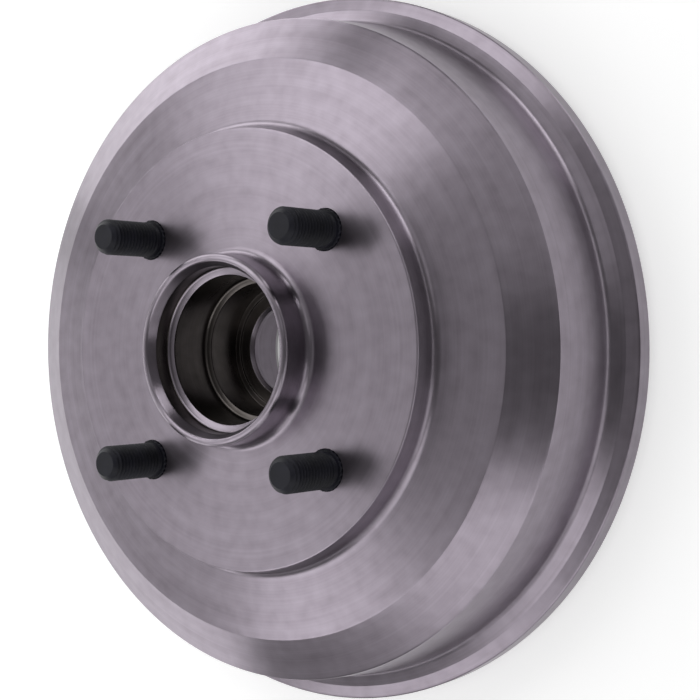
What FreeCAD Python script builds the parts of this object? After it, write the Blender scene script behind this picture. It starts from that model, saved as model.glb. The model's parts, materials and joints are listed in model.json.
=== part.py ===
"""Rear brake drum with an integral hub and four wheel studs.

The drum is one grey iron casting, turned on its outside: the wheel face with its centring nose, the
stepped annulus, the conical shoulder, the outer wall and the rim flange. Inside are the braking
surface, the web, and the hub barrel with the seats of two taper roller bearings and their seal. Headed
studs are pressed through the web from behind.

Frame: the drum's axis is +Z, the origin is the centre of the open rim's plane, and the wheel face looks
up. The drum stands on its open rim. Lengths are in millimetres.
"""
import FreeCAD, Part
import math
import os
import re

import Sketcher

# Driving dimensions. Each becomes one cell of the sheet "sizes", under its own name.
SIZES = {
    # Outside of the casting, from the wheel face down to the rim
    "overall_depth": 54.5,         # rim plane to wheel face
    "face_radius": 73.75,          # flat wheel face
    "face_bevel": 0.4,             # broken edge of the wheel face
    "step_drop": 8.0,              # wheel face down to the annulus
    "step_taper": 1.35,            # how much wider the step is at its foot
    "step_foot_bevel": 1.0,        # corner that the tool leaves at the step's foot
    "annulus_fall": 3.3,           # the annulus is slightly dished
    "shoulder_width": 14.5,        # conical shoulder, measured along the radius
    "shoulder_fall": 7.4,          # and along the axis
    "wall_thickness": 11.0,        # braking surface to outside, at the shoulder
    "wall_draft": 2.6,             # how much the wall widens down to the flange
    "wall_fillet": 2.2,            # corner between wall and flange
    "flange_root_height": 10.1,    # rim plane to that corner
    "flange_cone_width": 4.7,      # steeper inner part of the flange's front
    "flange_cone_height": 7.7,     # rim plane to the end of that part
    "flange_width": 9.2,           # flange beyond the wall
    "flange_height": 6.7,          # outer cylinder of the flange
    "flange_bevel": 0.5,           # its two broken edges

    # Inside of the casting
    "brake_radius": 101.5,         # braking surface, 203 mm across
    "mouth_bevel": 1.5,            # lead-in for the shoes, along the radius
    "mouth_height": 1.5,           # and along the axis
    "relief_depth": 1.0,           # grinding relief at the inner end of the braking surface
    "relief_height": 3.0,
    "web_thickness": 6.5,          # web behind the annulus
    "face_thickness": 9.5,         # web behind the wheel face, where the studs sit
    "head_room": 2.0,              # between the stud heads and the inner step
    "inner_step_run": 3.0,         # slope of the inner step
    "hub_wall": 5.0,               # barrel around the seal seat
    "hub_draft": 2.0,              # barrel grows towards the web
    "hub_root_bevel": 4.0,         # thickened root of the barrel
    "hub_end_bevel": 0.8,

    # Groove in the rim that runs over the backing plate's edge
    "lip_thickness": 5.3,
    "rim_groove_width": 7.0,
    "rim_groove_depth": 3.5,

    # Nose: wheel spigot outside, seat of the dust cap inside
    "nose_radius": 31.65,
    "nose_height": 12.0,
    "nose_round": 1.8,             # front outer edge
    "nose_fillet": 2.6,            # foot on the wheel face
    "nose_wall": 4.05,             # spigot to cap seat
    "cap_lead": 1.7,               # lead-in of the cap seat, along the radius
    "cap_lead_depth": 3.3,         # and along the axis
    "cap_seat_depth": 7.8,         # nose front to the bottom of the cap seat
    "cap_ledge": 2.7,              # cap seat to the bore that clears the hub nut
    "cap_ledge_fall": 1.9,         # the ledge between them is conical

    # Bore of the hub
    "outer_seat_drop": 14.8,       # wheel face to the outer bearing seat
    "outer_seat_lead": 1.8,        # its lead-in
    "outer_seat_radius": 22.62,    # outer bearing cup, 45.24 mm
    "outer_seat_length": 11.7,
    "outer_ledge": 2.0,            # shoulder that the cup rests on
    "ledge_recess": 0.8,           # the bore's middle lies this far behind the shoulder
    "throat_radius": 15.5,         # narrowest place, which clears the spindle
    "throat_bevel": 1.2,
    "throat_length": 2.0,
    "flare_length": 4.0,           # cone from the throat to the inner shoulder
    "inner_ledge": 2.5,            # shoulder that the inner cup rests on
    "inner_seat_radius": 25.0,     # inner bearing cup, 50 mm
    "inner_seat_length": 14.0,
    "seal_step": 1.5,              # the seal seat is this much larger than the cup seat
    "seal_lead": 0.8,
    "seal_seat_length": 5.0,

    # Wheel studs, M12, and their holes
    "stud_count": 4,
    "stud_circle": 108.0,          # pitch circle diameter
    "stud_radius": 6.0,            # thread, over its crests
    "stud_reach": 22.8,            # wheel face to stud tip
    "stud_bevel_height": 1.8,      # pointed tip, along the axis
    "stud_bevel_width": 1.9,       # and along the radius
    "neck_radius": 6.9,            # serrated neck, over its crests
    "neck_clearance": 0.02,        # between the crests and the hole
    "neck_proud": 0.8,             # how far the neck stands out of the wheel face
    "serration_count": 24,
    "serration_depth": 0.35,
    "serration_width": 0.95,
    "head_radius": 9.0,
    "head_thickness": 5.0,
    "head_bevel": 0.8,
}

# How closely a ring edge has to agree with a corner, in millimetres
EDGE_TOLERANCE = 1e-4

# Heights along the axis that several outlines share, written in the names above
NOSE_TOP = "overall_depth + nose_height"
STEP_FOOT = "overall_depth - step_drop"
ANNULUS_EDGE = STEP_FOOT + " - annulus_fall"
WEB_BACK = ANNULUS_EDGE + " - web_thickness"
STUD_SEAT = "overall_depth - face_thickness"
CAP_FLOOR = NOSE_TOP + " - cap_seat_depth"
OUTER_SEAT = "overall_depth - outer_seat_drop"
OUTER_LEDGE = OUTER_SEAT + " - outer_seat_length"
BORE_MIDDLE = OUTER_LEDGE + " - ledge_recess"
THROAT_TOP = BORE_MIDDLE + " - throat_bevel"
THROAT_END = THROAT_TOP + " - throat_length"
INNER_LEDGE = THROAT_END + " - flare_length"
SEAL_STEP = INNER_LEDGE + " - inner_seat_length"
HUB_END = SEAL_STEP + " - seal_seat_length"

# Radii that several outlines share
SHOULDER_EDGE = "brake_radius + wall_thickness"
WALL_END = SHOULDER_EDGE + " + wall_draft"
FLANGE_EDGE = WALL_END + " + flange_width"
RELIEF_WALL = "brake_radius + relief_depth"
INNER_STEP = "stud_circle / 2 + head_radius + head_room"
CAP_SEAT = "nose_radius - nose_wall"
NUT_BORE = CAP_SEAT + " - cap_ledge"
SEAL_SEAT = "inner_seat_radius + seal_step"
HUB_OUTSIDE = SEAL_SEAT + " + hub_wall"
NECK_HEIGHT = "face_thickness + neck_proud"
STUD_TIP = "face_thickness + stud_reach"

doc = FreeCAD.newDocument("brake_drum")
sheet = doc.addObject("Spreadsheet::Sheet", "sizes")
for row, (alias, value) in enumerate(SIZES.items(), start=1):
    sheet.set(f"A{row}", alias)
    sheet.set(f"B{row}", str(value))
    sheet.setAlias(f"B{row}", alias)
doc.recompute()


def from_sheet(text):
    """Turn names such as overall_depth into references to the sheet's cells."""
    return re.sub(r"\b[a-z]+(?:_[a-z]+)+\b", r"sizes.\g<0>", text)


def bind(thing, **properties):
    """Bind properties of an object to expressions in the sheet's names."""
    for name, text in properties.items():
        thing.setExpression(name.replace("__", "."), from_sheet(text))


def origin_feature(body, role):
    """One of the body's own origin planes or axes."""
    return next(item for item in body.Origin.OriginFeatures if item.Role == role)


def new_body(label):
    body = doc.addObject("PartDesign::Body", label)
    body.Label = label
    return body


def outline(body, name, corners, plane="XZ_Plane"):
    """Closed outline of straight sides on an origin plane of the body.

    Each corner is a name and two expressions: across and up, which on the XZ plane are the radius and
    the height. The first guess is a plain polygon, and the constraints carry every corner to its place.
    """
    sketch = body.newObject("Sketcher::SketchObject", name)
    sketch.AttachmentSupport = (origin_feature(body, plane), [""])
    sketch.MapMode = "FlatFace"
    count = len(corners)
    turns = [2 * math.pi * index / count for index in range(count)]
    middle = SIZES["overall_depth"]
    guess = [FreeCAD.Vector(middle - middle / 2 * math.sin(turn), middle + middle / 2 * math.cos(turn), 0)
             for turn in turns]
    for index in range(count):
        sketch.addGeometry(Part.LineSegment(guess[index], guess[(index + 1) % count]), False)
    for index, (corner, across, up) in enumerate(corners):
        following = (index + 1) % count
        sketch.addConstraint(Sketcher.Constraint("Coincident", index, 2, following, 1))
        for kind, axis, text, place in (("DistanceX", -2, across, guess[index].x),
                                        ("DistanceY", -1, up, guess[index].y)):
            if text == "0":
                sketch.addConstraint(Sketcher.Constraint("PointOnObject", index, 1, axis))
                continue
            number = sketch.addConstraint(Sketcher.Constraint(kind, -1, 1, index, 1, place))
            sketch.setExpression(f"Constraints[{number}]", from_sheet(text))
    doc.recompute()
    places = [sketch.Geometry[index].StartPoint for index in range(count)]
    return sketch, {corner[0]: places[index] for index, corner in enumerate(corners)}


def revolve(body, kind, name, sketch):
    """Full turn of the sketch about the body's axis, as added or as removed material."""
    feature = body.newObject(kind, name)
    feature.Profile = sketch
    feature.ReferenceAxis = (sketch, ["V_Axis"])
    feature.Angle = 360.0
    sketch.Visibility = False
    doc.recompute()
    return feature


def ring_edge(feature, place):
    """Name of the circular edge about the axis that passes through the given corner of an outline."""
    for number, edge in enumerate(feature.Shape.Edges, start=1):
        if not isinstance(edge.Curve, Part.Circle):
            continue
        centre = edge.Curve.Center
        errors = (math.hypot(centre.x, centre.y), edge.Curve.Radius - place.x, centre.z - place.y)
        if all(abs(error) < EDGE_TOLERANCE for error in errors):
            return f"Edge{number}"
    raise RuntimeError(f"{feature.Label} has no ring edge at {place}")


def fillet(body, name, base, place, size):
    """Round the ring edge at one corner of the section by a size of the sheet."""
    feature = body.newObject("PartDesign::Fillet", name)
    feature.Base = (base, [ring_edge(base, place)])
    bind(feature, Radius=size)
    doc.recompute()
    return feature


def polar_copies(body, name, original, count):
    """Repeat a feature evenly about the body's axis."""
    pattern = body.newObject("PartDesign::PolarPattern", name)
    pattern.Originals = [original]
    pattern.Axis = (origin_feature(body, "Z_Axis"), [""])
    pattern.Angle = 360.0
    bind(pattern, Occurrences=count)
    body.Tip = pattern
    doc.recompute()
    return pattern


def make_drum():
    """The casting: a turned blank, then the bore, the rim groove, the stud holes and the edges."""
    body = new_body("drum")
    section, at = outline(body, "drum_section", [
        ("top_centre", "0", NOSE_TOP),
        ("nose_front", "nose_radius", NOSE_TOP),
        ("nose_foot", "nose_radius", "overall_depth"),
        ("face_edge", "face_radius - face_bevel", "overall_depth"),
        ("step_edge", "face_radius", "overall_depth - face_bevel"),
        ("step_wall_end", "face_radius + step_taper", STEP_FOOT + " + step_foot_bevel"),
        ("step_foot", "face_radius + step_taper + step_foot_bevel", STEP_FOOT),
        ("annulus_edge", SHOULDER_EDGE + " - shoulder_width", ANNULUS_EDGE),
        ("shoulder_edge", SHOULDER_EDGE, ANNULUS_EDGE + " - shoulder_fall"),
        ("wall_foot", WALL_END, "flange_root_height"),
        ("flange_cone", WALL_END + " + flange_cone_width", "flange_cone_height"),
        ("flange_front", FLANGE_EDGE + " - flange_bevel", "flange_height"),
        ("flange_side", FLANGE_EDGE, "flange_height - flange_bevel"),
        ("rim_side", FLANGE_EDGE, "flange_bevel"),
        ("rim_edge", FLANGE_EDGE + " - flange_bevel", "0"),
        ("mouth", "brake_radius + mouth_bevel", "0"),
        ("brake_start", "brake_radius", "mouth_height"),
        ("brake_end", "brake_radius", WEB_BACK + " - relief_height"),
        ("relief_start", RELIEF_WALL, WEB_BACK + " - relief_height + relief_depth"),
        ("relief_corner", RELIEF_WALL, WEB_BACK),
        ("inner_step_foot", INNER_STEP + " + inner_step_run", STEP_FOOT + " - web_thickness"),
        ("inner_step", INNER_STEP, STUD_SEAT),
        ("hub_root", HUB_OUTSIDE + " + hub_draft + hub_root_bevel", STUD_SEAT),
        ("hub_side", HUB_OUTSIDE + " + hub_draft", STUD_SEAT + " - hub_root_bevel"),
        ("hub_side_end", HUB_OUTSIDE, HUB_END + " + hub_end_bevel"),
        ("hub_end", HUB_OUTSIDE + " - hub_end_bevel", HUB_END),
        ("end_centre", "0", HUB_END),
    ])
    blank = revolve(body, "PartDesign::Revolution", "blank", section)

    bore_outline, _ = outline(body, "hub_bore_section", [
        ("nose_centre", "0", NOSE_TOP),
        ("cap_mouth", CAP_SEAT + " + cap_lead", NOSE_TOP),
        ("cap_seat", CAP_SEAT, NOSE_TOP + " - cap_lead_depth"),
        ("cap_floor", CAP_SEAT, CAP_FLOOR),
        ("nut_bore", NUT_BORE, CAP_FLOOR + " - cap_ledge_fall"),
        ("nut_bore_end", NUT_BORE, OUTER_SEAT + " + outer_seat_lead"),
        ("outer_seat", "outer_seat_radius", OUTER_SEAT),
        ("outer_seat_end", "outer_seat_radius", OUTER_LEDGE),
        ("outer_ledge", "outer_seat_radius - outer_ledge", OUTER_LEDGE),
        ("bore_middle", "outer_seat_radius - outer_ledge", BORE_MIDDLE),
        ("throat_rim", "throat_radius + throat_bevel", BORE_MIDDLE),
        ("throat", "throat_radius", THROAT_TOP),
        ("throat_end", "throat_radius", THROAT_END),
        ("flare_end", "inner_seat_radius - inner_ledge", INNER_LEDGE),
        ("inner_seat", "inner_seat_radius", INNER_LEDGE),
        ("inner_seat_end", "inner_seat_radius", SEAL_STEP),
        ("seal_seat", SEAL_SEAT, SEAL_STEP + " - seal_lead"),
        ("seal_mouth", SEAL_SEAT, HUB_END),
        ("hub_centre", "0", HUB_END),
    ])
    bored = revolve(body, "PartDesign::Groove", "hub_bore", bore_outline)

    groove_outside = FLANGE_EDGE + " - lip_thickness"
    groove_inside = groove_outside + " - rim_groove_width"
    groove_outline, _ = outline(body, "rim_groove_section", [
        ("groove_outside", groove_outside, "0"),
        ("groove_floor_outside", groove_outside, "rim_groove_depth"),
        ("groove_floor_inside", groove_inside, "rim_groove_depth"),
        ("groove_inside", groove_inside, "0"),
    ])
    grooved = revolve(body, "PartDesign::Groove", "rim_groove", groove_outline)

    rounded = grooved
    for name, size, corner in (("nose_foot_fillet", "nose_fillet", "nose_foot"),
                               ("nose_front_round", "nose_round", "nose_front"),
                               ("wall_foot_fillet", "wall_fillet", "wall_foot")):
        rounded = fillet(body, name, rounded, at[corner], size)

    # The first stud hole lies half a division round from the X axis
    hole_sketch = body.newObject("Sketcher::SketchObject", "stud_hole_circle")
    hole_sketch.AttachmentSupport = (origin_feature(body, "XY_Plane"), [""])
    hole_sketch.MapMode = "FlatFace"
    guess = SIZES["stud_radius"]
    hole_sketch.addGeometry(Part.Circle(FreeCAD.Vector(guess, guess, 0), FreeCAD.Vector(0, 0, 1), guess), False)
    for kind, text in (("DistanceX", "stud_circle / 2 * cos(180 deg / stud_count)"),
                       ("DistanceY", "stud_circle / 2 * sin(180 deg / stud_count)")):
        number = hole_sketch.addConstraint(Sketcher.Constraint(kind, -1, 1, 0, 3, guess))
        hole_sketch.setExpression(f"Constraints[{number}]", from_sheet(text))
    number = hole_sketch.addConstraint(Sketcher.Constraint("Radius", 0, guess))
    hole_sketch.setExpression(f"Constraints[{number}]", from_sheet("neck_radius + neck_clearance"))
    hole = body.newObject("PartDesign::Pocket", "stud_hole")
    hole.Profile = hole_sketch
    hole.Type = "Length"
    hole.Reversed = True
    bind(hole, Length=NOSE_TOP)
    hole_sketch.Visibility = False
    doc.recompute()
    polar_copies(body, "stud_holes", hole, "stud_count")
    return body


def make_stud(number):
    """One wheel stud: head behind the web, serrated neck in the web, threaded shank and pointed tip."""
    body = new_body(f"wheel_stud_{number}")
    section, _ = outline(body, f"stud_section_{number}", [
        ("head_centre", "0", "-head_thickness"),
        ("head_back", "head_radius - head_bevel", "-head_thickness"),
        ("head_edge", "head_radius", "-head_thickness + head_bevel"),
        ("head_rim", "head_radius", "0"),
        ("head_seat", "neck_radius", "0"),
        ("neck_end", "neck_radius", NECK_HEIGHT),
        ("shank_foot", "stud_radius", NECK_HEIGHT),
        ("shank_end", "stud_radius", STUD_TIP + " - stud_bevel_height"),
        ("tip_edge", "stud_radius - stud_bevel_width", STUD_TIP),
        ("tip_centre", "0", STUD_TIP),
    ])
    revolve(body, "PartDesign::Revolution", f"stud_blank_{number}", section)

    notch_outline, _ = outline(body, f"serration_section_{number}", [
        ("notch_root", "neck_radius - serration_depth", "0"),
        ("notch_left", "neck_radius + serration_depth", "serration_width"),
        ("notch_right", "neck_radius + serration_depth", "-serration_width"),
    ], plane="XY_Plane")
    notch = body.newObject("PartDesign::Pocket", f"serration_{number}")
    notch.Profile = notch_outline
    notch.Type = "Length"
    notch.Reversed = True
    bind(notch, Length=NECK_HEIGHT)
    notch_outline.Visibility = False
    doc.recompute()
    polar_copies(body, f"serrations_{number}", notch, "serration_count")

    turn = f"(360 deg * {number} - 180 deg) / stud_count"
    bind(body, Placement__Base__x=f"stud_circle / 2 * cos({turn})",
         Placement__Base__y=f"stud_circle / 2 * sin({turn})",
         Placement__Base__z=STUD_SEAT)
    return body


pieces = [make_drum()]
for number in range(1, int(SIZES["stud_count"]) + 1):
    pieces.append(make_stud(number))
doc.recompute()

for thing in doc.Objects:
    if "Invalid" in thing.State or "Error" in thing.State:
        raise RuntimeError(f"{thing.Name} failed: {thing.State}")
for piece in pieces:
    shape = piece.Shape
    if shape.isNull() or not shape.isValid() or len(shape.Solids) != 1:
        raise RuntimeError(f"{piece.Label} isn't one valid solid")

os.makedirs("parts", exist_ok=True)
for piece in pieces:
    piece.Shape.exportStep(f"parts/{piece.Label}.step")
    box = piece.Shape.BoundBox
    print(f"{piece.Label}: {piece.Shape.Volume / 1000:.2f} cm3, "
          f"z {box.ZMin:.2f} to {box.ZMax:.2f} mm, {len(piece.Shape.Faces)} faces")
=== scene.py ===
# %% [markdown]
# # A rear brake drum, lying on its open rim
# The drum of a small car's rear brake is one grey iron casting, with the wheel's hub in its middle. Its
# outside is turned bright on a lathe, the web inside is left as it came from the sand, and four black wheel
# studs are pressed through it.
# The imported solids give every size. This script dresses them: a smoother turned body with the real edge
# rounds, studs with a rolled thread, and a finish for each way in which a surface was made.

import json
import math

import bpy
from mathutils import Matrix, Vector

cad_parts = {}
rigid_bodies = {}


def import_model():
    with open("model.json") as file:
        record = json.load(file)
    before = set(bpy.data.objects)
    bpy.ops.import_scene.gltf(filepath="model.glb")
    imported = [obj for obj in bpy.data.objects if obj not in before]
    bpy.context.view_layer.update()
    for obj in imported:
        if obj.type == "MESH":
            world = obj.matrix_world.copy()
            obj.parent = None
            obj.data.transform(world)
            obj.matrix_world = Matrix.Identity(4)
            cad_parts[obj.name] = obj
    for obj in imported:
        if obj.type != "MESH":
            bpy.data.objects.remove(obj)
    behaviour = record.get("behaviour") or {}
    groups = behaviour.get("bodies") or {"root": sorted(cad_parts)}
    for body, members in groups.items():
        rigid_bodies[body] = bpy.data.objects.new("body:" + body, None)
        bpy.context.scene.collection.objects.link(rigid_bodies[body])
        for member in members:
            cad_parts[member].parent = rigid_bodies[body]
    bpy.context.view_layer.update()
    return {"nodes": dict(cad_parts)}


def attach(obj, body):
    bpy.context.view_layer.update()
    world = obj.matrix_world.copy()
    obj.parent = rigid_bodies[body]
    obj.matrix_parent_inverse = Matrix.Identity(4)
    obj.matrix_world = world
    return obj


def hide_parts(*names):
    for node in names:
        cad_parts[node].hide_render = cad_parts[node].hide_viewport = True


for leftover in list(bpy.data.objects):
    bpy.data.objects.remove(leftover)
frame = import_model()
MM = 0.001
print("nodes:", sorted(frame["nodes"]))

# %% [markdown]
# ## Helpers for nodes and colours
# Geometry trees and materials are both made of nodes, so one function adds a node to either. It sets the
# node's own properties, and feeds each input with a plain value or a link. The same feeding serves the
# shader that a new material already has.
# Colours are written as sRGB hex, as a paint program shows them, and one function turns them linear.

# %% Add and feed nodes
def feed(tree, node, inputs):
    """Feed inputs. A value may be plain, a node, whose first output is then linked, or a socket."""
    for name, value in inputs.items():
        if isinstance(value, bpy.types.Node):
            value = value.outputs[0]
        if isinstance(value, bpy.types.NodeSocket):
            tree.links.new(value, node.inputs[name])
        else:
            node.inputs[name].default_value = value


def add(tree, kind, inputs=None, **settings):
    """Add a node with its settings, and feed its inputs."""
    made = tree.nodes.new(kind)
    for name, value in settings.items():
        setattr(made, name, value)
    feed(tree, made, inputs or {})
    return made


def linear(code):
    """Linear RGBA from an sRGB hex colour such as #808080."""
    parts = [int(code[place:place + 2], 16) / 255 for place in (1, 3, 5)]
    return [part / 12.92 if part <= 0.04045 else ((part + 0.055) / 1.055) ** 2.4 for part in parts] + [1.0]


print("middle grey #808080 is linear", round(linear("#808080")[0], 3))

# %% [markdown]
# ## Helpers for shapes and finishes
# A shape is a Geometry Nodes tree with named sizes. It runs on a start mesh that holds only a section, and
# the result is kept as a plain mesh at the origin, because the export needs real faces and no modifier.
# A finish starts from a new material and the Object coordinates, which stay on the piece from every side.

# %% Trees, pieces and finishes
def shape_tree(name, **sizes):
    """A geometry tree with named inputs: whole numbers, lengths, or materials where a size is None."""
    kinds = {int: "NodeSocketInt", float: "NodeSocketFloat"}
    tree = bpy.data.node_groups.new(name, "GeometryNodeTree")
    tree.interface.new_socket("Geometry", in_out="INPUT", socket_type="NodeSocketGeometry")
    tree.interface.new_socket("Geometry", in_out="OUTPUT", socket_type="NodeSocketGeometry")
    for label, value in sizes.items():
        kind = kinds.get(type(value), "NodeSocketMaterial")
        tree.interface.new_socket(label.replace("_", " "), in_out="INPUT", socket_type=kind)
    return tree, add(tree, "NodeGroupInput")


def plain_piece(name, start, tree, **sizes):
    """Run a tree on a start mesh and keep the result as a plain mesh at the origin."""
    rough = bpy.data.objects.new(name + "_start", start)
    bpy.context.scene.collection.objects.link(rough)
    modifier = rough.modifiers.new("shape", "NODES")
    modifier.node_group = tree
    sockets = {item.name: item.identifier for item in tree.interface.items_tree if item.in_out == "INPUT"}
    for label, value in sizes.items():
        modifier[sockets[label.replace("_", " ")]] = value
    bpy.context.view_layer.update()
    graph = bpy.context.evaluated_depsgraph_get()
    mesh = bpy.data.meshes.new_from_object(rough.evaluated_get(graph), preserve_all_data_layers=True, depsgraph=graph)
    bpy.data.objects.remove(rough)
    mesh.name = name
    piece = bpy.data.objects.new(name, mesh)
    bpy.context.scene.collection.objects.link(piece)
    print(f"{name}: {len(mesh.vertices)} vertices, {len(mesh.polygons)} faces")
    return piece


def new_finish(name):
    """A new material, its tree, its shader, and the Object coordinates for its patterns."""
    material = bpy.data.materials.new(name)
    material.use_nodes = True
    tree = material.node_tree
    print("finish:", name)
    return material, tree, tree.nodes["Principled BSDF"], add(tree, "ShaderNodeTexCoord").outputs["Object"]


# %% [markdown]
# ## Where a point lies on a turned piece
# The patterns of turned iron follow the lathe, so they need a point's place as the lathe sees it: how far
# the tool has travelled along the cut, and which way the point faces as the work turns. A UV map could carry
# both. A piece that is round about the Z axis needs none, because both follow from its coordinates.

# %% The lathe's coordinates
def lathe_place(tree, place):
    """Nodes for the millimetres travelled along the cut, and for the direction from the axis."""
    flat = add(tree, "ShaderNodeVectorMath", {0: place, 1: (1, 1, 0)}, operation="MULTIPLY")
    radius = add(tree, "ShaderNodeVectorMath", {0: flat}, operation="LENGTH").outputs["Value"]
    height = add(tree, "ShaderNodeSeparateXYZ", {0: place}).outputs["Z"]
    # A flat face changes in radius and a wall in height, so their difference counts along both
    along = add(tree, "ShaderNodeMath", {0: radius, 1: height}, operation="SUBTRACT")
    cut = add(tree, "ShaderNodeMath", {0: along, 1: 1 / MM}, operation="MULTIPLY")
    direction = add(tree, "ShaderNodeVectorMath", {0: flat}, operation="NORMALIZE")
    return cut, direction


# %% [markdown]
# ## Iron that was turned on a lathe
# Grey cast iron holds flakes of graphite, so even a cut surface is a soft mauve-grey and never mirror
# bright. The tool leaves one fine groove after another round the axis. They spread a reflection across
# themselves, and so a turned face shows bright and dark fans. Bump alone would need grooves finer than a
# pixel for that. Anisotropic gives it directly: the tangent runs round the axis, and a quarter turn puts the
# spread across the grooves.
# The real feed of about 0.2 mm is too fine for the picture, so the grooves are drawn as bands of about a
# millimetre, uneven in the way that a worn tool leaves them. The roughness changes very little, because
# larger changes show as dark dashes where a fan ends.

# %% Turned and bored iron
def turned_iron(name, light, dark, roughness, spread, groove):
    """Cut grey iron. spread is the anisotropy, and groove the height of its bands in millimetres."""
    material, tree, shader, place = new_finish(name)
    cut, direction = lathe_place(tree, place)

    # Bands of the feed, 1 mm and less across, the same all the way round
    bands = add(tree, "ShaderNodeTexNoise", {"W": cut, "Scale": 1.1, "Detail": 2.0, "Roughness": 0.5},
                noise_dimensions="1D")
    # Smears that run round the axis: 4 mm across the cut, and about a ninth of a turn along it
    stretched = add(tree, "ShaderNodeVectorMath", {0: direction, "Scale": 1.4}, operation="SCALE")
    across = add(tree, "ShaderNodeMath", {0: cut, 1: 0.25}, operation="MULTIPLY")
    offset = add(tree, "ShaderNodeCombineXYZ", {"Z": across})
    path = add(tree, "ShaderNodeVectorMath", {0: stretched, 1: offset}, operation="ADD")
    smears = add(tree, "ShaderNodeTexNoise", {"Vector": path, "Scale": 1.0, "Detail": 4.0})
    # Clouds of graphite and of drying oil, about 5 mm across, and flakes, drawn 2 mm across
    clouds = add(tree, "ShaderNodeTexNoise", {"Vector": place, "Scale": 0.2 / MM, "Detail": 3.0, "Roughness": 0.4})
    flakes = add(tree, "ShaderNodeTexNoise", {"Vector": place, "Scale": 0.5 / MM, "Detail": 2.0})

    faint = add(tree, "ShaderNodeMath", {0: bands, 1: 0.35}, operation="MULTIPLY")
    tone = add(tree, "ShaderNodeMath", {0: smears, 1: clouds}, operation="ADD")
    tone = add(tree, "ShaderNodeMath", {0: tone, 1: faint}, operation="ADD")
    share = add(tree, "ShaderNodeMapRange", {"Value": tone, "From Min": 0.78, "From Max": 1.57})
    colour = add(tree, "ShaderNodeValToRGB", {"Fac": share})
    for element, shade in zip(colour.color_ramp.elements, (dark, light)):
        element.color = linear(shade)
    rough = add(tree, "ShaderNodeMapRange", {"Value": smears, "From Min": 0.3, "From Max": 0.7,
                                             "To Min": roughness - 0.01, "To Max": roughness + 0.01})
    bump = add(tree, "ShaderNodeBump", {"Height": bands, "Distance": groove * MM, "Strength": 1.0})
    grain = add(tree, "ShaderNodeBump", {"Height": flakes, "Distance": 0.003 * MM, "Normal": bump})
    tangent = add(tree, "ShaderNodeTangent", direction_type="RADIAL", axis="Z")
    feed(tree, shader, {"Metallic": 1.0, "Anisotropic": spread, "Anisotropic Rotation": 0.25,
                        "Base Color": colour, "Roughness": rough, "Normal": grain, "Tangent": tangent})
    return material


outside_iron = turned_iron("turned_grey_cast_iron", "#978F99", "#857D86", 0.30, 0.62, 0.005)
# Bored more finely, and darker: the dark colour is painted shade for the deep hub bore
bore_iron_painted_shade = turned_iron("fine_bored_grey_cast_iron_painted_shade", "#625D5B", "#4C4846", 0.28, 0.65, 0.003)

# %% [markdown]
# ## Iron as it left the sand
# The web behind the wheel face and the outside of the hub barrel are never cut. Moulding sand leaves them
# dark, matt and pitted with grains of about a millimetre. Sculpting the pits would cost many faces that are
# hardly seen, so they are bump, and the skin of scale and sand has no metal shine at all.

# %% Cast skin
def cast_skin(name):
    """Iron with the skin that moulding sand leaves."""
    material, tree, shader, place = new_finish(name)
    grains = add(tree, "ShaderNodeTexNoise", {"Vector": place, "Scale": 1 / MM, "Detail": 3.0})
    # Stains of rust and soot, 15 to 20 mm across
    stains = add(tree, "ShaderNodeTexNoise", {"Vector": place, "Scale": 0.06 / MM, "Detail": 3.0})
    colour = add(tree, "ShaderNodeValToRGB", {"Fac": stains})
    for element, share, shade in zip(colour.color_ramp.elements, (0.3, 0.7), ("#3B3838", "#5A5452")):
        element.position, element.color = share, linear(shade)
    bump = add(tree, "ShaderNodeBump", {"Height": grains, "Distance": 0.25 * MM, "Strength": 0.8})
    feed(tree, shader, {"Base Color": colour, "Roughness": 0.72, "Normal": bump})
    return material


cast_iron_skin = cast_skin("sand_cast_grey_iron")

# %% [markdown]
# ## The drum's section
# A lathe needs only half a section, and so does a turned mesh. Each corner below is a radius and a height
# above the floor, and the radius that the tool or the deburring leaves on it, all in millimetres. The list
# starts at the nose, runs down the outside, through the rim groove, up the braking surface, along the web,
# down the hub barrel and up through the bore.

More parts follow.
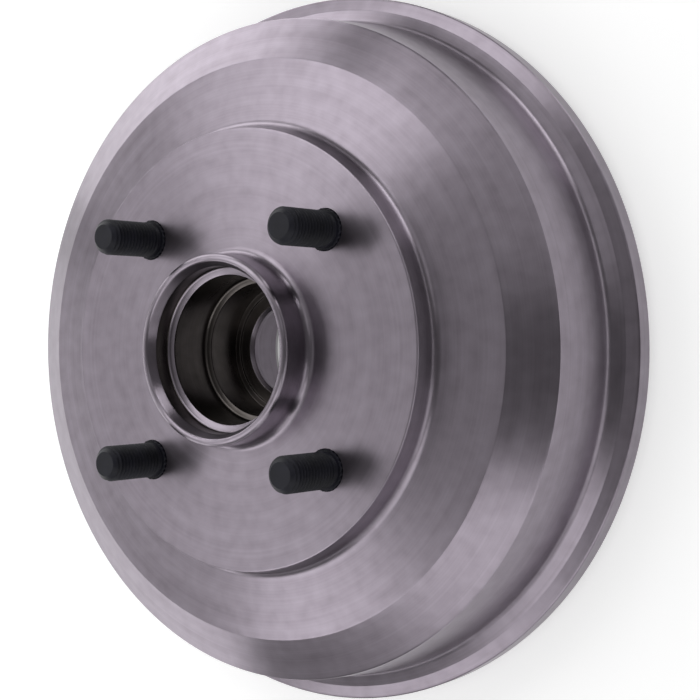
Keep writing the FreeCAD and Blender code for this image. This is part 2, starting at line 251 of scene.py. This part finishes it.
# %% Corners of the section
SECTION = [
    # radius, height, round
    (29.30, 66.50, 1.20),    # mouth of the dust cap's seat
    (31.65, 66.50, 1.60),    # front of the nose, which centres the wheel
    (31.65, 54.50, 2.60),    # foot of the nose
    (73.75, 54.50, 0.35),    # edge of the wheel face
    (75.10, 46.50, 3.00),    # foot of the step
    (98.00, 43.20, 0.30),    # end of the annulus
    (112.50, 35.80, 0.40),   # edge of the conical shoulder
    (115.10, 10.10, 3.00),   # foot of the wall
    (119.80, 7.70, 0.60),    # flange, end of its steeper part
    (124.30, 6.70, 0.55),    # flange, front edge
    (124.30, 0.00, 0.50),    # flange, rim edge
    (119.00, 0.00, 0.20),    # groove that runs over the backing plate's edge
    (119.00, 3.50, 0.60),
    (112.00, 3.50, 0.60),
    (112.00, 0.00, 0.20),
    (103.00, 0.00, 0.20),    # mouth of the drum
    (101.50, 1.50, 0.20),    # braking surface
    (101.50, 33.70, 0.20),
    (102.50, 34.70, 0.20),   # grinding relief
    (102.50, 36.70, 1.20),
    (68.00, 40.00, 3.00),    # web, behind the annulus
    (65.00, 45.00, 3.00),    # web, behind the wheel face
    (33.50, 45.00, 5.00),    # root of the hub barrel
    (31.50, 1.00, 0.80),     # end of the barrel
    (26.50, 1.00, 0.30),     # seal seat
    (26.50, 5.20, 0.10),
    (25.00, 6.00, 0.15),     # inner bearing seat
    (25.00, 20.00, 0.30),
    (22.50, 20.00, 0.20),    # flare to the throat
    (15.50, 24.00, 0.30),
    (15.50, 26.00, 0.20),
    (16.70, 27.20, 0.20),
    (20.62, 27.20, 0.10),    # shoulder that the outer cup rests on
    (20.62, 28.00, 0.20),
    (22.62, 28.00, 0.20),    # outer bearing seat
    (22.62, 41.20, 0.40),
    (24.90, 41.50, 1.00),    # bore that clears the hub nut
    (24.90, 57.20, 0.40),
    (27.60, 57.60, 1.00),    # dust cap seat
    (27.60, 63.20, 0.25),
]
print("corners of the section:", len(SECTION))

# %% [markdown]
# ## Supports, and the section as a mesh
# Smooth shading blends the slope of a flat face with the slope of the round at its edge, so a wide face
# would look pillowed. An extra plain point 0.3 mm past each round, at both ends of a long edge, keeps the
# blend inside that narrow strip. The rounds go along as attributes of the points: one holds the radius, and
# one the number of steps, which is larger on larger rounds.

# %% Supports and attributes
SUPPORT_GAP = 0.3


def with_supports(corners):
    """Add a plain point past the round at each end of a long edge."""
    full = []
    for corner, (radius, height, size) in enumerate(corners):
        full.append((radius, height, size))
        next_radius, next_height, next_size = corners[(corner + 1) % len(corners)]
        length = math.hypot(next_radius - radius, next_height - height)
        beside, next_beside = size + SUPPORT_GAP, next_size + SUPPORT_GAP
        if length > 1.5 * (beside + next_beside):
            for share in (beside / length, 1 - next_beside / length):
                full.append((radius + share * (next_radius - radius), height + share * (next_height - height), 0.0))
    return full


def round_steps(size):
    """Steps of a round: none to speak of on a plain point, and 8 from a radius of 1 mm."""
    return 1 if size == 0 else 2 if size < 0.5 else 4 if size < 1 else 8


points = with_supports(SECTION)
section = bpy.data.meshes.new("drum_section")
# Curve to Mesh stands the section up with its Y axis pointing down, so heights go in with a minus
section.from_pydata([(radius * MM, -height * MM, 0) for radius, height, _ in points],
                    [(corner, (corner + 1) % len(points)) for corner in range(len(points))], [])
section.attributes.new("round", "FLOAT", "POINT").data.foreach_set("value", [size * MM for _, _, size in points])
section.attributes.new("steps", "INT", "POINT").data.foreach_set("value", [round_steps(size) for _, _, size in points])
print("points with supports:", len(points))

# %% [markdown]
# ## Turning the drum
# The tree does what the lathe does. Fillet Curve rounds the section's corners, and Curve to Mesh carries it
# round the axis. Spin or a Screw modifier would turn it too, but not with a round of its own at each corner.
# The path has to be a circle of some size, so it runs 1 mm from the axis, and the section moves in by as
# much, which leaves its radii true.

# %% Turn the section
def turned_body(tree, given):
    """The rounded section, turned about the axis."""
    spindle = 1 * MM
    rounds = add(tree, "GeometryNodeInputNamedAttribute", {"Name": "round"}, data_type="FLOAT")
    steps = add(tree, "GeometryNodeInputNamedAttribute", {"Name": "steps"}, data_type="INT")
    curve = add(tree, "GeometryNodeMeshToCurve", {0: given.outputs["Geometry"]})
    rounded = add(tree, "GeometryNodeFilletCurve", {"Curve": curve, "Count": steps, "Radius": rounds,
                                                    "Limit Radius": True}, mode="POLY")
    moved = add(tree, "GeometryNodeTransform", {"Geometry": rounded, "Translation": (-spindle, 0, 0)})
    path = add(tree, "GeometryNodeCurvePrimitiveCircle",
               {"Resolution": given.outputs["Segments"], "Radius": spindle})
    return add(tree, "GeometryNodeCurveToMesh", {"Curve": path, "Profile Curve": moved})


# %% [markdown]
# ## Drilling the stud holes
# The holes repeat round the stud circle, so the drill is one cylinder on each point of a circle of that
# size, leaned by half a step so that the holes stand on the diagonals. Mesh Boolean takes them all away at
# once. Then each edge is smoothed or kept sharp by its angle: the steps of a round stay under 28 degrees.

# %% Drill and shade
def drilled_body(tree, given, body):
    """The turned body with its stud holes, shaded smooth over its rounds."""
    half_step = add(tree, "ShaderNodeMath", {0: math.pi, 1: given.outputs["Studs"]}, operation="DIVIDE")
    lean = add(tree, "ShaderNodeCombineXYZ", {"Z": half_step})
    circle = add(tree, "GeometryNodeMeshCircle", {"Vertices": given.outputs["Studs"],
                                                  "Radius": given.outputs["Stud circle"]})
    circle = add(tree, "GeometryNodeTransform", {"Geometry": circle, "Rotation": lean})
    drill = add(tree, "GeometryNodeMeshCylinder", {"Vertices": 96, "Radius": given.outputs["Hole"],
                                                   "Depth": 200 * MM}).outputs["Mesh"]
    drills = add(tree, "GeometryNodeInstanceOnPoints", {"Points": circle, "Instance": drill})
    drills = add(tree, "GeometryNodeRealizeInstances", {"Geometry": drills})
    drilled = add(tree, "GeometryNodeMeshBoolean", {"Mesh 1": body, "Mesh 2": drills},
                  operation="DIFFERENCE", solver="EXACT")
    angle = add(tree, "GeometryNodeInputMeshEdgeAngle").outputs["Unsigned Angle"]
    smooth = add(tree, "FunctionNodeCompare", {"A": angle, "B": math.radians(28)}, operation="LESS_THAN")
    shaded = add(tree, "GeometryNodeSetShadeSmooth", {"Geometry": drilled, "Shade Smooth": smooth}, domain="EDGE")
    return add(tree, "GeometryNodeRealizeInstances", {"Geometry": shaded})


# %% [markdown]
# ## A finish for each region
# The drum is one casting with three finishes, and which one a face has follows from its place: what the lathe
# reached, what the fine boring bar reached, and what neither did. The bored finish is darker, as painted shade
# for the deep bore. Painting faces by hand would be lost as soon as a corner moves. So the whole body is
# turned iron first, and each region, a ring below some height, then gets its own.

# %% Finish by place
REGIONS = [
    # finish, inner radius, outer radius, top
    ("Cast", 30.0, 70.0, 45.2),     # web behind the wheel face, and outside of the barrel
    ("Cast", 66.0, 101.4, 41.0),    # web behind the annulus
    # The bored finish is darker than cut iron: painted shade in the deep bore and on the cap seat's wall
    ("Bored", 0.0, 25.2, 57.0),     # hub bore
    ("Bored", 27.4, 27.7, 63.1),    # wall of the dust cap's seat
    ("Turned", 0.0, 27.0, 27.1),    # throat and below, cut as brightly as the outside
]
print("regions with a finish of their own:", len(REGIONS))


def finished_body(tree, given, body):
    """The body with a finish on each region."""
    place = add(tree, "GeometryNodeInputPosition")
    flat = add(tree, "ShaderNodeVectorMath", {0: place, 1: (1, 1, 0)}, operation="MULTIPLY")
    radius = add(tree, "ShaderNodeVectorMath", {0: flat}, operation="LENGTH").outputs["Value"]
    height = add(tree, "ShaderNodeSeparateXYZ", {0: place}).outputs["Z"]
    body = add(tree, "GeometryNodeSetMaterial", {"Geometry": body, "Material": given.outputs["Turned"]})
    for finish, inner, outer, top in REGIONS:
        outside = add(tree, "FunctionNodeCompare", {"A": radius, "B": inner * MM}, operation="GREATER_THAN")
        inside = add(tree, "FunctionNodeCompare", {"A": radius, "B": outer * MM}, operation="LESS_THAN")
        below = add(tree, "FunctionNodeCompare", {"A": height, "B": top * MM}, operation="LESS_THAN")
        ring = add(tree, "FunctionNodeBooleanMath", {0: outside, 1: inside}, operation="AND")
        region = add(tree, "FunctionNodeBooleanMath", {0: ring, 1: below}, operation="AND")
        body = add(tree, "GeometryNodeSetMaterial", {"Geometry": body, "Selection": region,
                                                     "Material": given.outputs[finish]})
    return body


# %% [markdown]
# ## The drum itself
# The three steps make one tree, and the tree makes the piece. A stud circle of 54 mm radius and a neck of
# 6.92 mm are the solids' own sizes, and 288 segments keep the large rim round in the picture.

# %% Make the drum
drum_tree, drum_sizes = shape_tree("turn_and_drill", Segments=0, Stud_circle=0.0, Hole=0.0, Studs=0,
                                   Turned=None, Bored=None, Cast=None)
drum_shape = turned_body(drum_tree, drum_sizes)
drum_shape = drilled_body(drum_tree, drum_sizes, drum_shape)
drum_shape = finished_body(drum_tree, drum_sizes, drum_shape)
add(drum_tree, "NodeGroupOutput", {"Geometry": drum_shape})

STUD_CIRCLE = 54.0
STUDS = 4
drum = plain_piece("drum_body", section, drum_tree, Segments=288, Stud_circle=STUD_CIRCLE * MM, Hole=6.92 * MM,
                   Studs=STUDS, Turned=outside_iron, Bored=bore_iron_painted_shade, Cast=cast_iron_skin)
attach(drum, "root")
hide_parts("drum")

# %% [markdown]
# ## Black phosphate
# A wheel stud is hard steel, and a phosphate bath keeps the rust off it. The bath grows a felt of tiny
# crystals that soaks up oil. The eye sees a matt, slightly blue black with hardly any shine. Nothing
# metallic shows through, so it is a plain dark surface with a weak gloss. The real crystals are a few
# hundredths of a millimetre across, and are drawn at half a millimetre to show at all.

# %% Finish of the studs
def black_phosphate(name):
    """Steel under a phosphate coat."""
    material, tree, shader, place = new_finish(name)
    crystals = add(tree, "ShaderNodeTexNoise", {"Vector": place, "Scale": 2 / MM, "Detail": 3.0})
    # Patches where more oil stayed, about 7 mm across
    patches = add(tree, "ShaderNodeTexNoise", {"Vector": place, "Scale": 0.15 / MM, "Detail": 3.0})
    colour = add(tree, "ShaderNodeValToRGB", {"Fac": patches})
    for element, share, shade in zip(colour.color_ramp.elements, (0.3, 0.7), ("#0F0F16", "#1B1B25")):
        element.position, element.color = share, linear(shade)
    bump = add(tree, "ShaderNodeBump", {"Height": crystals, "Distance": 0.02 * MM})
    feed(tree, shader, {"Base Color": colour, "Roughness": 0.5, "Specular IOR Level": 0.25, "Normal": bump})
    return material


stud_black = black_phosphate("black_phosphated_steel")

# %% [markdown]
# ## The stud's blank
# A wheel stud is cold-headed from steel wire. Its head stays behind the web, a serrated neck is pressed
# into the web, and the shank carries the nut. The blank is round, so it is a half section again, from the
# middle of the head to the middle of the pointed tip.

# %% Section of the blank
STUD_FOOT = 45.0             # height of the web that the head rests on
STUD_SECTION = [
    # radius, height above the web
    (0.0, -5.0), (8.2, -5.0), (9.0, -4.2), (9.0, 0.0), (6.9, 0.0),    # head
    (6.9, 10.1), (6.7, 10.3), (6.0, 10.3),                            # serrated neck
    (6.0, 30.5), (4.1, 32.3), (0.0, 32.3),                            # shank and pointed tip
]
stud_section = bpy.data.meshes.new("stud_section")
stud_section.from_pydata([(radius * MM, 0, height * MM) for radius, height in STUD_SECTION],
                         [(corner, corner + 1) for corner in range(len(STUD_SECTION) - 1)], [])
print("the stud is", STUD_SECTION[-1][1] - STUD_SECTION[0][1], "mm long")

# %% [markdown]
# ## The stud's thread and serrations
# The thread is rolled into the blank and climbs as it goes round, so the section alone can't turn it. A
# sweep of a small triangle along a helix would need a boolean on every stud. Here a grid is bent round the
# blank instead, and each of its points sinks by the depth of the thread at its place. The profile is the
# real one: a 60 degree groove with flats at crest and root, one pitch apart, that runs in over the first
# turn. The neck's serrations are a notch wave round the axis, made the same way.

# %% Depth of the thread
def thread_depth(tree, given, radius, height, turn):
    """How far a point sinks for the thread. turn counts from 0 to 1 round the axis."""
    pitches = add(tree, "ShaderNodeMath", {0: height, 1: given.outputs["Pitch"]}, operation="DIVIDE")
    climbed = add(tree, "ShaderNodeMath", {0: pitches, 1: turn}, operation="SUBTRACT")
    phase = add(tree, "ShaderNodeMath", {0: climbed}, operation="FRACT")
    swing = add(tree, "ShaderNodeMath", {0: phase, 1: 2.0, 2: -1.0}, operation="MULTIPLY_ADD")
    from_root = add(tree, "ShaderNodeMath", {0: swing}, operation="ABSOLUTE")
    # The root's flat takes 0.2 of the half pitch, and the crest's flat starts at 0.88 of it
    groove = add(tree, "ShaderNodeMapRange", {"Value": from_root, "From Min": 0.2, "From Max": 0.88,
                                              "To Min": 1.0, "To Max": 0.0})
    # Where the blank is thinner than the thread's crest, only the rest of the groove is left
    missing = add(tree, "ShaderNodeMath", {0: radius, 1: given.outputs["Thread radius"]}, operation="SUBTRACT")
    depth = add(tree, "ShaderNodeMath", {0: groove, 1: given.outputs["Thread depth"], 2: missing},
                operation="MULTIPLY_ADD")
    depth = add(tree, "ShaderNodeMath", {0: depth, 1: 0.0}, operation="MAXIMUM")
    run_in = add(tree, "ShaderNodeMath", {0: height, 1: given.outputs["Thread start"]}, operation="SUBTRACT")
    run_in = add(tree, "ShaderNodeMath", {0: run_in, 1: given.outputs["Pitch"]}, operation="DIVIDE")
    run_in = add(tree, "ShaderNodeMapRange", {"Value": run_in})
    return add(tree, "ShaderNodeMath", {0: depth, 1: run_in}, operation="MULTIPLY")


# %% Depth of the serrations
def serration_depth(tree, given, radius, turn):
    """How far a point of the neck sinks between two serrations."""
    teeth = add(tree, "ShaderNodeMath", {0: turn, 1: given.outputs["Serrations"]}, operation="MULTIPLY")
    phase = add(tree, "ShaderNodeMath", {0: teeth}, operation="FRACT")
    swing = add(tree, "ShaderNodeMath", {0: phase, 1: 2.0, 2: -1.0}, operation="MULTIPLY_ADD")
    wave = add(tree, "ShaderNodeMath", {0: swing}, operation="ABSOLUTE")
    depth = add(tree, "ShaderNodeMath", {0: wave, 1: given.outputs["Serration depth"]}, operation="MULTIPLY")
    # Only the neck is wider than the thread and narrower than the head
    under_head = add(tree, "ShaderNodeMath", {0: radius, 1: 7 * MM}, operation="LESS_THAN")
    over_thread = add(tree, "ShaderNodeMath", {0: radius, 1: 6.2 * MM}, operation="GREATER_THAN")
    on_neck = add(tree, "ShaderNodeMath", {0: under_head, 1: over_thread}, operation="MULTIPLY")
    return add(tree, "ShaderNodeMath", {0: depth, 1: on_neck}, operation="MULTIPLY")


# %% [markdown]
# ## Bending the grid into a stud
# The grid's rows follow the section from head to tip, and its columns go once round the axis. The points at
# both poles and along the seam fall together there, so they are merged, and the stud is a closed body. Bent
# this way, the grid's upper side lies inside, so Flip Faces turns the faces to point outwards.

# %% The stud's tree
def stud_body(tree, given):
    """A grid, bent round the blank and sunk by thread and serrations."""
    grid = add(tree, "GeometryNodeMeshGrid", {"Size X": 1.0, "Size Y": 1.0, "Vertices X": given.outputs["Rows"],
                                              "Vertices Y": given.outputs["Columns"]}).outputs["Mesh"]
    place = add(tree, "ShaderNodeSeparateXYZ", {0: add(tree, "GeometryNodeInputPosition")})
    along = add(tree, "ShaderNodeMath", {0: place.outputs["X"], 1: 0.5}, operation="ADD")
    turn = add(tree, "ShaderNodeMath", {0: place.outputs["Y"], 1: 0.5}, operation="ADD")
    curve = add(tree, "GeometryNodeMeshToCurve", {0: given.outputs["Geometry"]})
    sample = add(tree, "GeometryNodeSampleCurve", {"Curves": curve, "Factor": along}, mode="FACTOR")
    blank = add(tree, "ShaderNodeSeparateXYZ", {0: sample.outputs["Position"]})
    radius, height = blank.outputs["X"], blank.outputs["Z"]

    cut = add(tree, "ShaderNodeMath", {0: radius, 1: thread_depth(tree, given, radius, height, turn)},
              operation="SUBTRACT")
    final = add(tree, "ShaderNodeMath", {0: cut, 1: serration_depth(tree, given, radius, turn)},
                operation="SUBTRACT")
    angle = add(tree, "ShaderNodeMath", {0: turn, 1: 2 * math.pi}, operation="MULTIPLY")
    cosine = add(tree, "ShaderNodeMath", {0: angle}, operation="COSINE")
    sine = add(tree, "ShaderNodeMath", {0: angle}, operation="SINE")
    bent = add(tree, "ShaderNodeCombineXYZ", {
        "X": add(tree, "ShaderNodeMath", {0: final, 1: cosine}, operation="MULTIPLY"),
        "Y": add(tree, "ShaderNodeMath", {0: final, 1: sine}, operation="MULTIPLY"), "Z": height})
    formed = add(tree, "GeometryNodeSetPosition", {"Geometry": grid, "Position": bent})
    closed = add(tree, "GeometryNodeMergeByDistance", {"Geometry": formed, "Distance": 0.001 * MM})
    outward = add(tree, "GeometryNodeFlipFaces", {"Mesh": closed})
    edge = add(tree, "GeometryNodeInputMeshEdgeAngle").outputs["Unsigned Angle"]
    smooth = add(tree, "FunctionNodeCompare", {"A": edge, "B": math.radians(35)}, operation="LESS_THAN")
    shaded = add(tree, "GeometryNodeSetShadeSmooth", {"Geometry": outward, "Shade Smooth": smooth}, domain="EDGE")
    real = add(tree, "GeometryNodeRealizeInstances", {"Geometry": shaded})
    return add(tree, "GeometryNodeSetMaterial", {"Geometry": real, "Material": given.outputs["Finish"]})


stud_tree, stud_sizes = shape_tree("rolled_stud", Rows=0, Columns=0, Thread_radius=0.0, Thread_depth=0.0, Pitch=0.0,
                                   Thread_start=0.0, Serrations=0, Serration_depth=0.0, Finish=None)
add(stud_tree, "NodeGroupOutput", {"Geometry": stud_body(stud_tree, stud_sizes)})

# %% [markdown]
# ## Four studs
# The thread is M12 x 1.5, 0.92 mm deep, and starts 11 mm above the web. The studs are alike, but each is a
# piece of its own, because each is pressed in and can be pressed out. They stand on the diagonals of the
# stud circle, in the holes.

# %% Make the studs
for number in range(1, STUDS + 1):
    stud = plain_piece(f"stud_{number}", stud_section, stud_tree, Rows=300, Columns=97, Thread_radius=6 * MM,
                       Thread_depth=0.92 * MM, Pitch=1.5 * MM, Thread_start=11 * MM, Serrations=24,
                       Serration_depth=0.35 * MM, Finish=stud_black)
    azimuth = math.radians(90 * number - 45)
    stud.data.transform(Matrix.Translation((STUD_CIRCLE * MM * math.cos(azimuth),
                                            STUD_CIRCLE * MM * math.sin(azimuth), STUD_FOOT * MM)))
    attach(stud, "root")
    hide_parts(f"wheel_stud_{number}")

# %% [markdown]
# ## Floor
# A plain sheet of pale paper carries the drum. Real paper is white in a picture only when it is lit more
# than the object, which would wash the iron out. So the paper glows a little for the camera and in
# reflections, on top of the light that falls on it. It shows white where it is fully lit, and still keeps
# the drum's shadow. Diffuse light never sees the glow, so it doesn't light the object.
# Little light gets under the drum, so the glow is cut down there as painted shade. Below the hub's bore it is
# raised again as painted light, and the seats show it in their reflections.

# %% Paper floor
GLOW = 0.41                  # what a fully lit sheet lacks to white
# Painted shade: the share of the glow left under the drum. Painted light: the share added back below the bore.
GLOW_PAINTED_SHADE_SHARE = 0.35          # share of it that is left under the drum
GLOW_PAINTED_LIGHT_SHARE = 0.55             # share that comes back below the bore


def pale_floor(name):
    """Pale paper that shows white to the camera and in metal."""
    material, tree, shader, place = new_finish(name)
    rays = add(tree, "ShaderNodeLightPath")
    seen = add(tree, "ShaderNodeMath", {0: rays.outputs["Is Camera Ray"], 1: rays.outputs["Is Glossy Ray"]},
               operation="MAXIMUM")
    seen = add(tree, "ShaderNodeMath", {0: seen, 1: rays.outputs["Is Transmission Ray"]}, operation="MAXIMUM")
    away = add(tree, "ShaderNodeVectorMath", {0: place}, operation="LENGTH").outputs["Value"]
    # The painted shade under the drum ends softly between the rim's groove and its edge
    painted_glow_share = add(tree, "ShaderNodeMapRange", {"Value": away, "From Min": 112 * MM, "From Max": 123 * MM,
                                                  "To Min": GLOW_PAINTED_SHADE_SHARE, "To Max": 1.0})
    bore = add(tree, "ShaderNodeMath", {0: away, 1: 26.5 * MM}, operation="LESS_THAN")
    painted_glow_share = add(tree, "ShaderNodeMath", {0: bore, 1: GLOW_PAINTED_LIGHT_SHARE, 2: painted_glow_share}, operation="MULTIPLY_ADD")
    seen = add(tree, "ShaderNodeMath", {0: seen, 1: painted_glow_share}, operation="MULTIPLY")
    glow = add(tree, "ShaderNodeMath", {0: seen, 1: GLOW}, operation="MULTIPLY")
    feed(tree, shader, {"Base Color": linear("#E6E6E6"), "Roughness": 0.9, "Specular IOR Level": 0.0,
                        "Emission Color": (1, 1, 1, 1), "Emission Strength": glow})
    return material


REACH = 3.0                  # metres from the middle of the sheet to each side
corners = [(-REACH, -REACH, 0), (REACH, -REACH, 0), (REACH, REACH, 0), (-REACH, REACH, 0)]
floor_mesh = bpy.data.meshes.new("floor")
floor_mesh.from_pydata(corners, [], [(0, 1, 2, 3)])
floor_mesh.materials.append(pale_floor("pale_paper_floor"))
floor = bpy.data.objects.new("floor", floor_mesh)
bpy.context.scene.collection.objects.link(floor)

# %% [markdown]
# ## Light
# Bright metal shows its surroundings more than its own colour. Seen from the camera, the wheel face mirrors
# what hangs high on the left, the annulus and the shoulder mirror a ring round that, and the outer wall
# mirrors the paper. A dome of even light would leave them all flat and grey. So soft boxes stand round the
# drum with dark gaps between them: five large ones high up for the faces, and five low strips for the
# shoulder, the flange and the rounded edges.
# Each box was first rendered alone, and the powers are the mix that gives each fan of light its brightness.
# They are low, so that a colour renders about as it is written. The room itself is an even, weak white.

# %% Soft boxes
LAMP_DISTANCE = 1.3


def softbox(name, azimuth, elevation, width, height, power):
    """A soft box that looks at the drum. Azimuth goes anticlockwise from +x, in degrees, and sizes are metres."""
    lamp = bpy.data.lights.new(name, "AREA")
    lamp.shape, lamp.size, lamp.size_y, lamp.energy = "RECTANGLE", width, height, power
    azimuth, elevation = math.radians(azimuth), math.radians(elevation)
    away = Vector((math.cos(azimuth) * math.cos(elevation), math.sin(azimuth) * math.cos(elevation),
                   math.sin(elevation)))
    placed = bpy.data.objects.new(name, lamp)
    placed.matrix_world = Matrix.Translation(away * LAMP_DISTANCE) @ away.to_track_quat("Z", "Y").to_matrix().to_4x4()
    bpy.context.scene.collection.objects.link(placed)


SOFTBOXES = [
    # name, azimuth, elevation, width, height, watts
    ("box_above_left", 126, 50, 1.15, 0.6, 4.2),
    ("box_above_right", 54, 50, 1.15, 0.6, 1.1),
    ("box_left", 198, 50, 1.15, 0.6, 2.1),
    ("box_below", 272, 50, 2.1, 0.6, 5.7),
    ("box_overhead", 180, 82, 1.0, 0.8, 0.6),
    ("strip_above_left", 138, 12, 1.3, 0.6, 5.9),
    ("strip_below_left", 200, 12, 1.4, 0.6, 4.2),
    ("strip_above_right", 60, 8, 0.7, 0.5, 3.0),
    ("strip_below_right", 292, 22, 0.9, 0.5, 1.5),
    ("strip_right", 330, 10, 0.7, 0.5, 1.1),
]
for box in SOFTBOXES:
    softbox(*box)
print("soft boxes:", len(SOFTBOXES), "with", round(sum(box[-1] for box in SOFTBOXES), 1), "W in all")

# %% The room
world = bpy.data.worlds.new("soft_room")
world.use_nodes = True
feed(world.node_tree, world.node_tree.nodes["Background"], {"Color": (1, 1, 1, 1), "Strength": 0.15})
bpy.context.scene.world = world
print("world:", world.name)

# %% [markdown]
# ## Camera
# The view is from 37 degrees off the drum's axis, near enough to show some perspective. The place and the
# direction were solved so that the drum's circles and its four studs fall where they should in a square
# picture, and 77 mm is the lens that goes with them. The view transform is Standard, so that colours
# come out as written, and everything is in focus.

# %% Camera
camera_data = bpy.data.cameras.new("camera")
camera_data.sensor_width = 36.0
camera_data.lens = 77.0
camera = bpy.data.objects.new("camera", camera_data)
camera_place = Vector((0.3299, 0.0032, 0.4298))
forward = Vector((-0.60043, -0.00688, -0.79965))
up = Vector((0.0, 0.99996, -0.0086))
right = forward.cross(up).normalized()
up = right.cross(forward)
facing = Matrix((right, up, -forward)).transposed()
camera.matrix_world = Matrix.Translation(camera_place) @ facing.to_4x4()
bpy.context.scene.collection.objects.link(camera)
bpy.context.scene.camera = camera
bpy.context.scene.view_settings.view_transform = "Standard"
print("camera distance:", round(camera_place.length, 3), "m")
